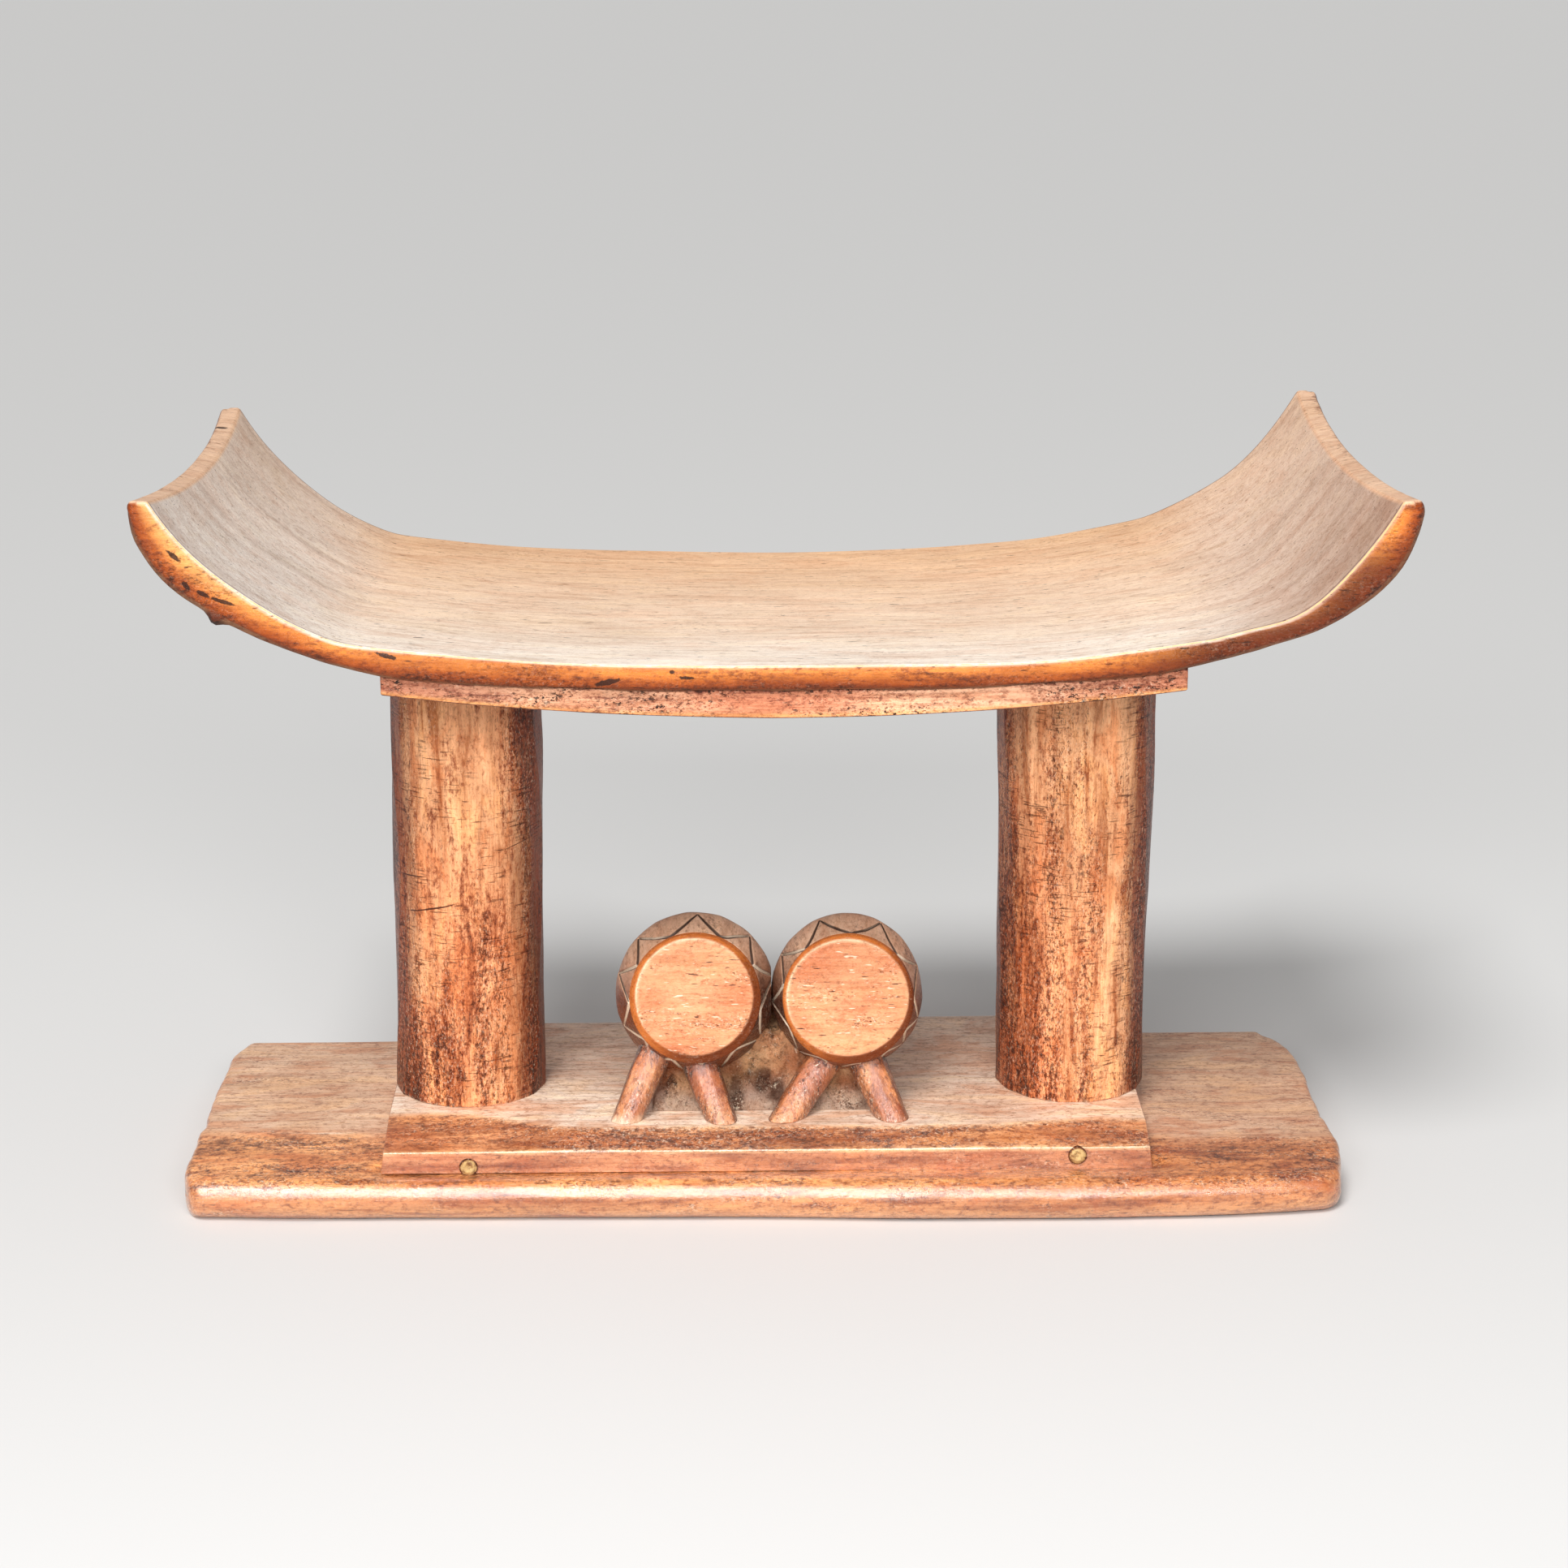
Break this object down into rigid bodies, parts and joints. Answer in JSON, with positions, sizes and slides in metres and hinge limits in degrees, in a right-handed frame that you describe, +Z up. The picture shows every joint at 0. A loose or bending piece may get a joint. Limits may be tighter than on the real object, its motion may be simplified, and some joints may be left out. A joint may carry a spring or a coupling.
{
  "type": "stool",
  "caption": "Carved wooden stool with a dished seat that turns up at its ends, round columns, a stepped base and small drums on splayed legs between the columns.",
  "frame": {"origin": "on the floor under the middle of the seat", "axes": "+X along the seat's length, +Y to the back, +Z up"},
  "size_m": [0.58, 0.27, 0.366],
  "materials": {
    "seat_wood": "worn dry wood, dusty grey-tan on top, orange and waxed on the rim",
    "red_wood": "satin red-brown wood with scratches",
    "column_wood": "semi-gloss orange-brown wood with dark streaks",
    "base_wood": "worn wood, dusty on top and glossy orange-brown in front",
    "peg_wood": "pale end grain",
    "rough_wood": "rough gouged yellow-brown wood",
    "drum_wood": "dark brown wood with pale cut lines",
    "face_wood": "light orange wood with fine grain"
  },
  "bodies": {
    "root": {"seat": "seat_wood", "seat_bearer": "red_wood", "left_column": "column_wood", "right_column": "column_wood", "step_plate": "base_wood", "base_board": "base_wood", "tenon_pegs": "peg_wood", "drum_cradle": "rough_wood", "left_drum_body": "drum_wood", "right_drum_body": "drum_wood", "left_drum_head": "face_wood", "right_drum_head": "face_wood", "left_drum_outer_leg": "column_wood", "left_drum_inner_leg": "column_wood", "right_drum_inner_leg": "column_wood", "right_drum_outer_leg": "column_wood"}
  },
  "joints": []
}
